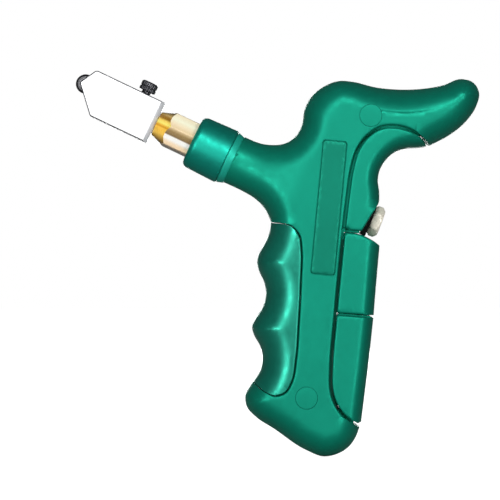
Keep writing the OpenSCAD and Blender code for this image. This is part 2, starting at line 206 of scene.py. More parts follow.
# The handle, clockwise from the collar ring, as in the CAD part
TOP_RUN = smooth([
    (-11.7, 114.8), (-6.5, 112.7), (-2, 112), (2.5, 112.5), (6.4, 115), (8.6, 118.8),
    (9.8, 125), (12.2, 129.4), (16.3, 132.8), (22, 135), (27, 134.7), (35, 132.8),
    (43, 131.9), (52, 132.2), (59.6, 133.5), (66, 135.7), (70.5, 134.3), (72.5, 130.5),
    (71.5, 126), (67, 119.6), (61.5, 115.3), (54.6, 111.7),
])
GAP_RUN = smooth([
    (54, 111.6), (48.8, 115.9), (42.5, 118), (36.5, 117.6), (32, 114.8), (28.2, 109.5),
    (26.4, 103.5), (24.8, 93), (22.3, 70.4), (20.4, 50.5), (18.9, 32), (18.9, 25.4),
    (20, 20.7), (23.2, 15.6), (29.6, 11.2),
])
BUTT_RUN = smooth([
    (29.4, 10.4), (28.5, 7.8), (25.5, 3.4), (20.6, 0.6), (16.5, 0), (10.2, 2.3),
    (-1.4, 10), (-7.8, 14.2), (-11, 17.8), (-11.6, 21.7), (-9.2, 26.4),
])
GRIP_RUN = smooth([
    (-8.8, 26.7), (-4, 23.2), (-0.8, 22.2), (2.6, 23.3), (5.1, 27.2), (6.6, 35),
    (7.6, 48), (8.4, 64), (8.6, 74), (7.6, 79.8), (4.6, 82.9), (-2.4, 84.3),
])
NECK_RUN = smooth([(-2.6, 85), (-4.4, 88.8), (-8, 92.6), (-13, 95.6), (-19.4, 98.6)])
FINGER_RUN = smooth([
    (-2.5, 83.9), (-2.9, 80.8), (-4.6, 76.6), (-6.9, 72.3), (-7.4, 69.5), (-6.6, 66.5),
    (-4.8, 62.5), (-4.2, 58.2), (-5.2, 54), (-8, 49.4), (-9.2, 46.6), (-8.6, 44),
    (-6.2, 39.5), (-5.4, 35.7), (-6.2, 31), (-8.7, 27),
])
PAD_RUN = smooth([
    (53.2, 111.4), (50, 111), (46.5, 110.8), (43, 109.8), (40.4, 108.1), (38.2, 105.7),
    (36.5, 102.6), (35.9, 99.1), (36.4, 95), (36.4, 91.8),
])
REAR_GAP = shift(GAP_RUN, -GAP / 2)[::-1]
CAVITY = [
    (13.5, 124), (17, 129.5), (24, 132), (44, 128.8), (60, 130), (68, 130), (66, 123.5),
    (56, 117.8), (50, 118.8), (42, 121.2), (34, 120.8), (28.5, 116.5), (24.6, 110),
    (22, 98), (19.2, 70), (16.2, 40), (15.9, 24), (17.5, 18.5), (23, 11.5), (23.5, 6.5),
    (18, 3.2), (12, 4.8), (-2, 14), (-6, 18.3), (-1, 19.4), (4.4, 20.6), (7.8, 25.4),
    (9.4, 36), (11.2, 64), (11.4, 76), (10, 82.4), (6, 87), (6, 100), (9.5, 110),
]
HEAD_OUTLINE = rounded(
    [(-8, 0), (7.9, 0), (7.9, 27.3), (1.4, 31), (-8, 22.4)], [0.6, 0.6, 1.6, 1.2, 1.0]
)
WHEEL_AT = (1.8, 29.0)
KNOB_Z = 8.0


# ---------------------------------------------------------------- cushioned plates
class Edge:
    """Closed outline whose edge is rounded: across and up are the rounding's width and height.
    Crease lowers the rounding and sets it off from the flat face with a small step."""

    STEP_DOWN = 0.22

    def __init__(self, *runs):
        rows = []
        for points, across, up, crease in runs:
            n = len(points)
            rows.append(np.column_stack([points] + [np.broadcast_to(v, n) for v in (across, up, crease)]))
        table = np.vstack(rows)
        apart = np.linalg.norm(table[:, :2] - np.roll(table[:, :2], 1, axis=0), axis=1) > 0.05
        table = table[apart]
        area = np.sum(table[:, 0] * np.roll(table[:, 1], -1) - np.roll(table[:, 0], -1) * table[:, 1])
        if area < 0:
            table = table[::-1]
        self.p = table[:, :2]
        self.across, self.up, self.crease = table[:, 2], table[:, 3], table[:, 4]
        self.next = np.roll(self.p, -1, axis=0)
        way = self.next - np.roll(self.p, 1, axis=0)
        way /= np.linalg.norm(way, axis=1)[:, None]
        self.inward = np.column_stack([-way[:, 1], way[:, 0]])

    def each(self, q, work):
        """Calls work with the distances from points q to every side of the outline."""
        out = [np.zeros(0)]
        for k in range(0, len(q), 3000):
            part = q[k : k + 3000]
            run = self.next - self.p
            t = np.einsum("ijk,jk->ij", part[:, None] - self.p[None], run)
            t = np.clip(t / np.sum(run**2, axis=1), 0, 1)
            near = self.p[None] + t[..., None] * run[None]
            d = np.linalg.norm(part[:, None] - near, axis=2)
            after = np.roll(np.arange(len(self.p)), -1)
            mix = [v + t * (v[after] - v) for v in (self.across, self.up, self.crease)]
            out.append(work(d, *mix))
        return np.concatenate(out)

    def depth(self, q):
        """How far in a point is, as a share of the rounding's width there."""
        return self.each(q, lambda d, across, up, crease: np.min(d / across, axis=1))

    def drop(self, q):
        """How far the surface lies under the flat face at a point."""

        def work(d, across, up, crease):
            s = 1 - np.clip(d / across, 0, 1)
            step = self.STEP_DOWN * np.clip(crease, 0, 1) * np.clip(s / 0.05, 0, 1)
            return np.max(up * (1 - np.sqrt(1 - s**2)) + crease * s + step, axis=1)

        return self.each(q, work)

    def inside(self, q):
        """Which points the outline surrounds."""
        x, y = q[:, 0][:, None], q[:, 1][:, None]
        (ax, ay), (bx, by) = self.p.T, self.next.T
        crosses = (ay > y) != (by > y)
        with np.errstate(divide="ignore", invalid="ignore"):
            at = ax + (y - ay) * (bx - ax) / (by - ay)
        return np.sum(crosses & (x < at), axis=1) % 2 == 1


def fill_points(edge, grid):
    """Rings of points that follow the rounding, then an even grid over the flat middle."""
    points = []
    slack = 0.012  # a ring keeps off the parts of the edge that it doesn't belong to
    wide = edge.across > 1.5
    for k in range(1, 11):
        share = 1 - math.cos(math.radians(9 * k))
        use = wide | (k in (4, 7, 10))
        ring = edge.p[use] + edge.inward[use] * (edge.across[use] * share)[:, None]
        ring = ring[edge.inside(ring)]
        points.append(ring[edge.depth(ring) > share - slack])
    creased = edge.crease > 0.05
    for share in (0.9, 0.95, 0.995):
        ring = edge.p[creased] + edge.inward[creased] * (edge.across[creased] * share)[:, None]
        points.append(ring[edge.depth(ring) > share - slack])
    (x0, y0), (x1, y1) = edge.p.min(axis=0), edge.p.max(axis=0)
    xs, ys = np.arange(x0, x1, grid), np.arange(y0, y1, grid * 0.87)
    net = np.array([(x + grid / 2 * (j % 2), y) for j, y in enumerate(ys) for x in xs])
    net = net[edge.inside(net)]
    points.append(net[edge.depth(net) > 1.04])
    points = np.vstack(points)
    closest = 0.12
    cells = np.round(points / closest).astype(int)
    return points[np.unique(cells, axis=0, return_index=True)[1]]


def triangulate(loops, extra):
    """Triangles between closed loops, the first outside and the others holes in it. Gives the points,
    the triangles, and for each point that went in its place among those that came out."""
    points, edges = [], []
    for loop in loops:
        start, n = len(points), len(loop)
        points += [tuple(q) for q in loop]
        edges += [(start + i, start + (i + 1) % n) for i in range(n)]
    points += [tuple(q) for q in extra]
    made = delaunay_2d_cdt([Vector(q) for q in points], edges, [], 0, 1e-5)
    walls = {tuple(sorted(edge)) for edge, given in zip(made[1], made[4]) if given}
    verts, tris = np.array([tuple(v) for v in made[0]]), [tuple(f) for f in made[2]]
    origin = {i: k for k, given in enumerate(made[3]) for i in given}
    return verts, np.array([t for t, kept in zip(tris, inside_walls(tris, walls)) if kept]), origin


def inside_walls(tris, walls):
    """For each triangle, whether an odd number of walls shuts it in."""
    beside = {}
    for k, (a, b, c) in enumerate(tris):
        for edge in ((a, b), (b, c), (c, a)):
            beside.setdefault(tuple(sorted(edge)), []).append(k)
    kept = {}
    for edge, pair in beside.items():
        if len(pair) == 1:
            kept[pair[0]] = edge in walls
    front = list(kept)
    while front:
        k = front.pop()
        a, b, c = tris[k]
        for edge in ((a, b), (b, c), (c, a)):
            edge = tuple(sorted(edge))
            for other in beside[edge]:
                if other not in kept:
                    kept[other] = kept[k] != (edge in walls)
                    front.append(other)
    return [kept[k] for k in range(len(tris))]


MERGE = 2e-6  # metres; points closer than this are one point


class Builder:
    """Collects points and faces, in millimetres."""

    def __init__(self):
        self.verts, self.faces = [], []

    def add(self, points):
        """Adds points and gives their indices."""
        start = len(self.verts)
        self.verts += [tuple(float(c) for c in q) for q in points]
        return list(range(start, len(self.verts)))

    def sheet(self, points, tris, height, flip=False):
        """Adds triangles whose points lie at a height over the plane, and gives their indices."""
        ids = self.add(np.column_stack([points, np.broadcast_to(height, len(points))]))
        self.faces += [tuple(ids[i] for i in (t[::-1] if flip else t)) for t in tris]
        return ids

    def strip(self, rows):
        """Quads between rows of indices that each run round a closed loop."""
        for low, high in zip(rows, rows[1:]):
            n = len(low)
            for i in range(n):
                j = (i + 1) % n
                self.faces.append((low[i], low[j], high[j], high[i]))

    def object(self, name, place, sharp=SHARP_ANGLE):
        mesh = bpy.data.meshes.new(name)
        points = [tuple((place @ Vector(v)) * MM) for v in self.verts]
        mesh.from_pydata(points, [], self.faces)
        return finish_mesh(name, mesh, sharp)


def finish_mesh(name, mesh, sharp=SHARP_ANGLE):
    """A smooth-shaded object from a mesh, with its double points merged."""
    bm = bmesh.new()
    bm.from_mesh(mesh)
    bmesh.ops.remove_doubles(bm, verts=bm.verts, dist=MERGE)
    bmesh.ops.recalc_face_normals(bm, faces=bm.faces)
    for face in bm.faces:
        face.smooth = True
    bm.to_mesh(mesh)
    bm.free()
    mesh.set_sharp_from_angle(angle=math.radians(sharp))
    obj = bpy.data.objects.new(name, mesh)
    bpy.context.scene.collection.objects.link(obj)
    return obj


def plate(name, edge, half, place, both_sides=True, grid=1.7, recesses=()):
    """A plate with rounded edges. half gives the half thickness at points of its plane.
    One-sided plates stand on a flat base with a fine groove round it."""
    base_groove = 0.22
    extra = surface_points(edge, grid, recesses)
    verts, tris, origin = triangulate([edge.p] + [loop for loop, _ in recesses], extra)
    top = half(verts) - edge.drop(verts)
    rim = [origin[i] for i in range(len(edge.p))]
    rim_top = top[rim]
    made = Builder()
    face = made.sheet(verts, tris, top)
    rows = [[face[i] for i in rim]]
    if both_sides:
        under = made.sheet(verts, tris, -top, flip=True)
        for share in (0.5, 0, -0.5):
            rows.append(made.add(np.column_stack([edge.p, rim_top * share])))
        rows.append([under[i] for i in rim])
    else:
        for level in (rim_top * 0.5, np.minimum(rim_top * 0.4, 0.3)):
            rows.append(made.add(np.column_stack([edge.p, level])))
        inner = edge.p + edge.inward * base_groove
        base_verts, base_tris, base_origin = triangulate([inner], [])
        base = made.sheet(base_verts, base_tris, 0, flip=True)
        rows.append([base[base_origin[i]] for i in range(len(inner))])
    made.strip(rows)
    count = len(edge.p)
    for loop, depth in recesses:
        rim = [origin[count + i] for i in range(len(loop))]
        count += len(loop)
        floor_verts, floor_tris, floor_origin = triangulate([loop], [])
        floor = made.sheet(floor_verts, floor_tris, float(top[rim].min()) - depth)
        made.strip([[face[i] for i in rim], [floor[floor_origin[i]] for i in range(len(loop))]])
    return made.object(name, place)


def surface_points(edge, grid, recesses):
    """Points inside a plate's outline: none in its recesses, and a close row round each of them."""
    margin, row = 0.4, 0.35
    points = fill_points(edge, grid)
    for loop, _ in recesses:
        hole = Edge((loop, margin, 1, 0))
        points = points[~hole.inside(points) & (hole.depth(points) > 1)]
        way = np.roll(loop, -1, axis=0) - np.roll(loop, 1, axis=0)
        way /= np.linalg.norm(way, axis=1)[:, None]
        side = np.column_stack([-way[:, 1], way[:, 0]])
        turns = np.sum(loop[:, 0] * np.roll(loop[:, 1], -1) - np.roll(loop[:, 0], -1) * loop[:, 1])
        points = np.vstack([points, loop - side * row * np.sign(turns)])
    return points


def flat_half(value):
    return lambda q: np.full(len(q), value)


# ---------------------------------------------------------------- turned pieces
def turned(name, place, stations, around=96, shape=None, sharp=SHARP_ANGLE):
    """A piece turned on the frame's Z axis. Each station is (z, radius); shape may change the radius
    with the angle. The ends are closed flat unless the profile ends where it starts."""
    made = Builder()
    angles = np.arange(around) * 2 * math.pi / around
    rows = []
    for z, radius in stations:
        r = np.full(around, float(radius))
        if shape is not None:
            r = shape(angles, r)
        rows.append(made.add(np.column_stack([r * np.cos(angles), r * np.sin(angles), np.full(around, z)])))
    made.strip(rows)
    if stations[0] != stations[-1]:
        made.faces += [tuple(rows[0]), tuple(rows[-1])]
    return made.object(name, place, sharp)


def six_sided(across_flats, turn=0.0):
    """Radius of a hexagon with softened corners, as a function of angle."""
    corner_cut = 0.0875
    longest = across_flats / 2 / math.cos(math.pi / 6) - corner_cut

    def radius(angles):
        a = (angles - math.radians(turn)) % (math.pi / 3) - math.pi / 6
        return np.minimum(across_flats / 2 / np.cos(a), longest)

    return radius


def within(limit):
    """Shape for turned: the radius, but nowhere more than the limit at that angle."""
    return lambda angles, r: np.minimum(limit(angles), r)


def fillet(z0, r0, z1, r1, n=5):
    """Quarter-round stations between two points of a profile."""
    angles = [math.pi / 2 * k / n for k in range(n + 1)]
    return [(z0 + (z1 - z0) * math.sin(a), r1 + (r0 - r1) * math.cos(a)) for a in angles]


# ---------------------------------------------------------------- cutting solids
def prism(name, outline, low, high, place):
    made = Builder()
    rows = [made.add([(x, y, z) for x, y in outline]) for z in (low, high)]
    made.faces += [tuple(row) for row in rows]
    made.strip(rows)
    return made.object(name, place)


def block(name, low, high, place):
    outline = [(low[0], low[1]), (high[0], low[1]), (high[0], high[1]), (low[0], high[1])]
    return prism(name, outline, low[2], high[2], place)


def rod(name, radius, low, high, place):
    return prism(name, circle((0, 0), radius), low, high, place)


def combine(obj, operation, *tools):
    """Cuts the tools out of the object or adds them to it, for good, and uses them up."""
    for tool in tools:
        change = obj.modifiers.new("change", "BOOLEAN")
        change.operation = operation
        change.solver = "EXACT"
        change.object = tool
        graph = bpy.context.evaluated_depsgraph_get()
        mesh = bpy.data.meshes.new_from_object(obj.evaluated_get(graph))
        obj.modifiers.clear()
        obj.data = mesh
        bpy.data.objects.remove(tool)
    close_slits(obj.data)
    obj.data.set_sharp_from_angle(angle=math.radians(SHARP_ANGLE))
    return obj


def close_slits(mesh):
    """Joins close points and fills the tiny holes that a boolean may leave."""
    bm = bmesh.new()
    bm.from_mesh(mesh)
    bmesh.ops.remove_doubles(bm, verts=bm.verts, dist=MERGE)
    bmesh.ops.dissolve_degenerate(bm, edges=bm.edges, dist=1e-7)
    bmesh.ops.holes_fill(bm, edges=[e for e in bm.edges if e.is_boundary], sides=12)
    bm.to_mesh(mesh)
    bm.free()


def cut(obj, *tools):
    return combine(obj, "DIFFERENCE", *tools)


def add(obj, *tools):
    return combine(obj, "UNION", *tools)


# ---------------------------------------------------------------- materials
def linear(rgb):
    """Linear colour from one given as 0 to 255 on screen."""
    out = [c / 255 / 12.92 if c / 255 < 0.04045 else ((c / 255 + 0.055) / 1.055) ** 2.4 for c in rgb]
    return (*out, 1)


class Paint:
    """A node material that starts from the principled shader and the object's own coordinates."""

    def __init__(self, name):
        self.material = bpy.data.materials.new(name)
        self.material.use_nodes = True
        self.nodes, self.links = self.material.node_tree.nodes, self.material.node_tree.links
        self.shader = self.nodes["Principled BSDF"]
        self.coords = self.nodes.new("ShaderNodeTexCoord")

    def set(self, **values):
        """Sets inputs of the shader, with underscores in place of spaces."""
        for key, value in values.items():
            self.shader.inputs[key.replace("_", " ")].default_value = value

    def node(self, kind, **values):
        """A new node with inputs set in the same way."""
        made = self.nodes.new("ShaderNode" + kind)
        for key, value in values.items():
            made.inputs[key.replace("_", " ")].default_value = value
        return made

    def noise(self, scale, detail, stretch=(1, 1, 1), turn=(0, 0, 0), rough=0.5):
        mapping = self.node("Mapping", Scale=stretch, Rotation=turn)
        texture = self.node("TexNoise", Scale=scale, Detail=detail, Roughness=rough)
        self.links.new(self.coords.outputs["Object"], mapping.inputs["Vector"])
        self.links.new(mapping.outputs["Vector"], texture.inputs["Vector"])
        return texture.outputs["Fac"]

    def ramp(self, fac, *stops):
        """Colours along a factor. Stops are (position, colour)."""
        ramp = self.node("ValToRGB")
        elements = ramp.color_ramp.elements
        while len(elements) < len(stops):
            elements.new(0.5)
        for k, (position, colour) in enumerate(stops):
            elements[k].position = position
            elements[k].color = colour
        self.links.new(fac, ramp.inputs["Fac"])
        return ramp.outputs["Color"]

    def mottle(self, fac, colour, darker, lighter):
        """Base colour that wanders between a darker and a lighter share of one colour."""
        low, high = scaled(colour, darker), scaled(colour, lighter)
        self.links.new(self.ramp(fac, (0.35, low), (0.65, high)), self.shader.inputs["Base Color"])

    def roughness(self, fac, low, high):
        grey = self.ramp(fac, (0.3, (low, low, low, 1)), (0.7, (high, high, high, 1)))
        self.links.new(grey, self.shader.inputs["Roughness"])

    def bump(self, *layers):
        """Layers are (height, distance in millimetres, strength)."""
        normal = None
        for height, distance, strength in layers:
            bump = self.node("Bump", Distance=distance * MM, Strength=strength)
            self.links.new(height, bump.inputs["Height"])
            if normal is not None:
                self.links.new(normal, bump.inputs["Normal"])
            normal = bump.outputs["Normal"]
        self.links.new(normal, self.shader.inputs["Normal"])


def scaled(colour, factor):
    return (*[min(1, c * factor) for c in colour[:3]], 1)


def moulded(name, rgb, rough, specular, flake=0.0, grain=0.002):
    """Moulded plastic: fine erosion grain, faint flow marks and small changes of gloss.
    Flake is the share of metal flake in the plastic, which darkens the sides that turn away."""
    paint = Paint(name)
    paint.set(Roughness=rough, Metallic=flake, Specular_IOR_Level=specular)
    paint.mottle(paint.noise(60, 3), linear(rgb), 0.965, 1.035)
    paint.roughness(paint.noise(420, 5), rough - 0.05, rough + 0.06)
    paint.bump((paint.noise(2400, 2), grain, 0.2), (paint.noise(180, 1), 0.01, 0.2))
    return paint.material


def metal(name, rgb, rough, stretch=(1, 1, 1), turn=(0, 0, 0), grain=900, depth=0.006, metallic=1.0):
    """Machined metal with fine tool marks along one direction."""
    paint = Paint(name)
    paint.set(Metallic=metallic, Roughness=rough)
    marks = paint.noise(grain, 6, stretch, turn, 0.6)
    paint.mottle(paint.noise(140, 4), linear(rgb), 0.95, 1.04)
    paint.roughness(marks, max(0.05, rough - 0.07), rough + 0.08)
    paint.bump((marks, depth, 0.5))
    return paint.material


def painted_reflection_bar(name, rough, metallic, reflection_bands):
    """Drawn bar with lengthways bands of painted reflection: light and dark tones are painted into the base
    colour by height above the neck's axis, in place of the bright and dark reflections on its facets. Bands
    are (height above the neck's axis in mm, colour).
    """
    paint = Paint(name)
    paint.set(Metallic=metallic, Roughness=rough)
    up = NECK.col[0].to_3d()
    height = paint.node("VectorMath")
    height.operation = "DOT_PRODUCT"
    height.inputs[1].default_value = up
    paint.links.new(paint.coords.outputs["Object"], height.inputs[0])
    axis, low, high = NECK.translation.dot(up), reflection_bands[0][0], reflection_bands[-1][0]
    share = paint.node("MapRange", From_Min=(axis + low) * MM, From_Max=(axis + high) * MM)
    paint.links.new(height.outputs["Value"], share.inputs["Value"])
    stops = [((at - low) / (high - low), linear(rgb)) for at, rgb in reflection_bands]
    paint.links.new(paint.ramp(share.outputs["Result"], *stops), paint.shader.inputs["Base Color"])
    marks = paint.noise(400, 6, (9, 9, 1), NECK_TURN, 0.6)
    paint.roughness(marks, rough - 0.05, rough + 0.08)
    paint.bump((marks, 0.002, 0.5))
    return paint.material


NECK_TURN = (0, math.radians(64.5), 0)
MATERIALS = {
    "shell": moulded("green_shell", (14, 141, 116), 0.46, specular=0.12, flake=0.58),
    "grip": moulded("green_grip", (26, 146, 123), 0.38, specular=0.5, flake=0.72, grain=0.004),
    "plate": moulded("green_plate", (13, 124, 101), 0.46, specular=0.12, flake=0.58),
    "collar": moulded("green_gloss", (20, 160, 140), 0.46, specular=0.3, flake=0.78, grain=0.001),
    "ring": moulded("ring_green", (34, 184, 160), 0.45, specular=0.2, flake=0.5),
    # Black for the notch buffer: painted shade, a black piece filling the notch where it lies in shadow
    "notch_shade_black": moulded("black_rubber", (14, 15, 15), 0.75, specular=0.2, grain=0.05),
    "tray": moulded("tray_green", (8, 84, 68), 0.6, specular=0.1, grain=0.03),
    # Brass and gold: bands of painted reflection and painted highlight, set by height above the neck's axis
    "brass": painted_reflection_bar("brass", 0.25, 0.0, (
        (-7, (70, 60, 42)), (-6.2, (120, 105, 80)), (-5.6, (246, 216, 176)), (-4.4, (250, 224, 186)),
        (-3.2, (255, 255, 250)), (-2.2, (255, 252, 244)), (-1.8, (136, 112, 76)), (-0.3, (166, 138, 90)),
        (1.2, (240, 214, 168)), (2.4, (252, 232, 192)), (4.2, (255, 252, 222)), (6.2, (248, 234, 198)),
        (6.6, (150, 134, 106)),
    )),
    "gold": painted_reflection_bar("brass_cone_painted_reflections", 0.25, 0.05, (
        (-5.6, (120, 96, 48)), (-4.4, (205, 160, 72)), (-3, (255, 206, 88)), (-0.8, (255, 200, 74)),
        (-0.3, (214, 150, 36)), (0.2, (240, 184, 64)), (0.9, (255, 240, 120)), (1.9, (250, 214, 100)),
        (2.7, (152, 108, 28)), (3.4, (160, 116, 40)), (4.2, (206, 172, 104)), (5.4, (132, 114, 74)),
    )),
    "pale": metal("pale_brass", (255, 246, 228), 0.3, grain=300, depth=0.002, metallic=0.05),
    "steel": metal("steel", (176, 178, 182), 0.34),
    "head": metal("head_steel", (253, 253, 254), 0.4, (1, 1, 9), NECK_TURN, 700, 0.003, 0.25),
    # Dark grey of the head's own steel: painted shade on its narrow rounded edges and in its slot and bores
    "side": metal("head_edge_shade", (92, 94, 98), 0.4, metallic=0.6),
    # Mid grey of the head's own steel: painted shade on its chamfers
    "shaded_bevel": metal("head_bevel_shade", (196, 198, 202), 0.4, metallic=0.2),
    "axle": metal("axle_steel", (205, 206, 210), 0.3, metallic=0.4),
    "wheel": metal("wheel_black", (58, 58, 62), 0.24, (1, 8, 1), grain=500, depth=0.002, metallic=0.6),
    "disc": metal("wheel_side", (150, 150, 154), 0.35, metallic=0.3),
    "knob": metal("screw_black", (84, 84, 88), 0.28, grain=300, depth=0.001, metallic=0.9),
}


def dress(obj, material, body, slot, *nodes):
    """Gives a piece its material, its body and the CAD nodes that it stands for. Rounding errors
    that would take it outside the CAD box are taken off."""
    obj.data.materials.clear()
    obj.data.materials.append(MATERIALS[material])
    for polygon in obj.data.polygons:
        polygon.material_index = 0
    low, high = cad_box
    for vertex in obj.data.vertices:
        vertex.co = [min(max(c, a), b) for c, a, b in zip(vertex.co, low, high)]
    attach(obj, body)
    if nodes:
        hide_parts(*nodes)
    return obj


# ---------------------------------------------------------------- the handle
def along_neck(q):
    """Station of points along the neck, rising towards the head."""
    return (q - NECK_POINT) @ NECK_DIR


def neck_share(q):
    """1 at the neck's mouth, falling smoothly to 0 in the handle."""
    t = np.clip((NECK_MOUTH - along_neck(q)) / NECK_BLEND, 0, 1)
    return 1 - t * t * (3 - 2 * t)


def handle_half(q):
    """Half thickness of the handle, which gets thinner towards the neck."""
    return HALF_T - (HALF_T - NECK_HALF) * neck_share(q)


def thumb_dish(p):
    """Share of the thumb dish along the horn's top edge."""
    start, end, lowest = 28.0, 60.0, 126
    t = np.clip((p[:, 0] - start) / (end - start), 0, 1)
    return np.sin(math.pi * t) ** 2 * (p[:, 1] > lowest)


def round_run(points, across=BODY_ROUND):
    """A rounded side of the handle: the rounding becomes a half circle at the neck's mouth."""
    share, dish = neck_share(points), thumb_dish(points)
    wide = across[0] + (NECK_HALF - 0.3 - across[0]) * share + 0.6 * dish
    tall = across[1] + (NECK_HALF - 0.4 - across[1]) * share
    return points, wide, tall, 1.5 * dish


def small(points, size=SHARP_ROUND):
    return points, size, size, 0


def handle_edge():
    mouth = line(NECK_RUN[-1], TOP_RUN[0])[1:-1]
    return Edge(
        round_run(TOP_RUN), small(shift(GAP_RUN, GAP / 2)), round_run(BUTT_RUN),
        small(GRIP_RUN), round_run(NECK_RUN), small(mouth, 0.3),
    )


def plate_outline(grow):
    """Outline of the blank side plate, made larger all round, in the plane of the handle."""
    left, bottom = -10, 14.6
    wide, tall = PLATE_SIZE
    x0, x1, z0, z1 = left - grow, left + wide + grow, bottom - grow, bottom + tall + grow
    corners = rounded([(x0, z0), (x1, z0), (x1, z1), (x0, z1)], [0.9 + grow] * 4)
    placed = [BACK @ Vector((x, 0, z)) for x, z in closed_line(corners)]
    return np.array([(v.x, v.z) for v in placed])


def screw_places():
    """Centres of the two caps, in the plane of the handle."""
    low, high = (np.array(c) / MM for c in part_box("screw_caps"))
    return [np.array([high[0] - CAP_R, high[2] - CAP_R]), np.array([low[0] + CAP_R, low[2] + CAP_R])]


def gap_strip(use, front, rear):
    """Strip along part of the gap, from its handle side to its rear side."""
    part = GAP_RUN[use]
    return np.vstack([shift(part, front), shift(part, -rear)[::-1]])


def build_shell(side):
    plane = SIDES[side] @ PLANE
    recesses = [(plate_outline(0.4), PLATE_RECESS)]
    if side == "left":
        recesses += [(circle(c, CAP_R + 0.03), CAP_RECESS) for c in screw_places()]
    shell = plate("shell_" + side, handle_edge(), handle_half, plane, False, recesses=recesses)
    butt = (GAP_RUN[:, 1] < 18.4) & (GAP_RUN[:, 0] < 27.4)
    add(shell, prism("lip", gap_strip(butt, GAP / 2 + 1, GAP / 2 - LIP_GAP), 0.4, LIP_T, plane))
    cut(
        shell,
        prism("cavity", CAVITY, -1, CAVITY_T, plane),
        block("window", (-9.45, -WINDOW_T, -1.1), (6, WINDOW_T, 33.15), BACK),
        block("low_window", (-4.55, -WINDOW_T, -35.45), (4.3, WINDOW_T, -1), BACK),
        rod("neck_bore", 7.5, -39, 5, NECK),
    )
    for c in screw_places():
        place = plane @ Matrix.Translation((c[0], c[1], 0))
        add(shell, rod("boss", 3, 0, CAVITY_T + 0.4, place))
        cut(shell, rod("screw_bore", 1.52, -1, 12.1, place))
        if side == "left":
            cut(shell, rod("screw_head", 2.75, 9.95, 13, place))
    if side == "right":
        cut(shell, rod("pin_bore", PIN_R, *PIN_BORE, PIN), rod("relief", 2.55, -32.7, -23.9, PIN))
    dress(shell, "shell", "handle", "green_shell", "body_shell_" + side)


def build_plates_and_caps():
    for side in SIDES:
        place = SIDES[side] @ PLANE @ Matrix.Translation((0, 0, HALF_T - 0.34))
        blank = plate("blank_plate_" + side, Edge(small(plate_outline(0), 0.18)), flat_half(0.25), place)
        dress(blank, "plate", "handle", "green_plate", "side_plate_" + side)
    profile = [
        (-1.4, CAP_R - 0.05), (-0.12, CAP_R - 0.05), (-0.03, CAP_R - 0.14), (-0.01, CAP_R - 0.4),
        (-0.01, 0.8),
    ]
    caps = []
    for k, c in enumerate(screw_places()):
        caps.append(turned(f"plug_{k}", PLANE @ Matrix.Translation((c[0], c[1], HALF_T)), profile, 64))
    dress(joined("screw_plugs", caps), "shell", "handle", "green_shell", "screw_caps")


def joined(name, objects):
    """One object from several, by merging their meshes."""
    bm = bmesh.new()
    for obj in objects:
        bm.from_mesh(obj.data)
        bpy.data.objects.remove(obj)
    mesh = bpy.data.meshes.new(name)
    bm.to_mesh(mesh)
    bm.free()
    return finish_mesh(name, mesh)


def build_finger_grip():
    edge = Edge(small(shift(GRIP_RUN, -0.3)[::-1]), (FINGER_RUN[::-1], *GRIP_ROUND, 0))
    grip = plate("finger_grooves", edge, flat_half(HALF_T - 0.05), PLANE)
    dress(grip, "grip", "handle", "green_grip", "finger_grip")


def build_back_pad():
    inner = REAR_GAP[(REAR_GAP[:, 1] > 81.6) & (REAR_GAP[:, 0] < 52)]
    foot = line((36.2, 91.3), (29.8, 80.9), (24.3, 81.4))[1:-1]
    edge = Edge((PAD_RUN, *BACK_ROUND, 0), small(foot, 0.7), small(inner))
    pad = plate("palm_pad", edge, flat_half(HALF_T), PLANE)
    beside = (GAP_RUN[:, 1] > 81.8) & (GAP_RUN[:, 0] < 51)
    add(
        pad,
        prism("lip", gap_strip(beside, GAP / 2 + 0.02, GAP / 2 + 1), -LIP_T, LIP_T, PLANE),
        block("foot_lip", (-0.35, -LIP_T, 30.4), (5.8, LIP_T, 31.8), BACK),
        block("front_lip", (-0.35, -LIP_T, 27.2), (0.35, LIP_T, 30.5), BACK),
    )
    cut(
        pad,
        rod("bolt_bore", 3.2, -30, 10, BOLT),
        rod("insert_bore", 4.65, -30, -11.9, BOLT),
        rod("pin_bore", PIN_R, *PIN_BORE, PIN),
    )
    dress(pad, "shell", "handle", "green_shell", "back_pad")


def build_door(name, node, body, outline, hollows, lips=()):
    """A door, with its lips and hollows as boxes in the frame of the back."""
    door = plate(name, Edge(*outline), flat_half(HALF_T), PLANE)
    add(door, *[block("lip", low, high, BACK) for low, high in lips])
    cut(door, *[block("hollow", low, high, BACK) for low, high in hollows])
    cut(door, rod("pin_bore", PIN_R + 0.05, -36, 36, PIN))
    dress(door, "shell", body, "green_shell", node)


def build_doors():
    hollow = HALF_T - DOOR_WALL
    inner = REAR_GAP[(REAR_GAP[:, 1] > 51.6) & (REAR_GAP[:, 1] < 80.2)]
    back = smooth([(36.5, 75.7), (35.2, 60.8), (34.4, 50.9)])
    top = smooth([(24.2, 80.5), (29.4, 79.7), (33.2, 77.9), (36.5, 75.7)])[:-1]
    build_door(
        "palm_door", "door_middle", "middle_door",
        [small(top, 0.9), (back, *BACK_ROUND, 0), small(line((34.4, 50.9), (21.4, 51.9))[1:-1]),
         small(inner)],
        [((-3, -hollow, 2.4), (11.2, hollow, 25.4)), ((-3, -hollow, 27.8), (15, hollow, 40))],
    )
    inner = REAR_GAP[(REAR_GAP[:, 1] > 12.4) & (REAR_GAP[:, 1] < 50.6)]
    back = smooth([(34.3, 50), (32.7, 35.1), (31.1, 22.2), (29.9, 12.8)])
    build_door(
        "heel_door", "door_lower", "lower_door",
        [small(line((21.2, 51.1), (34.3, 50))[:-1]), (back, *BACK_ROUND, 0), small(inner)],
        [((-3, -hollow, -32), (11.2, hollow, -1.6))],
        [((1, -LIP_T, 0), (12.6, LIP_T, 1.34))],
    )


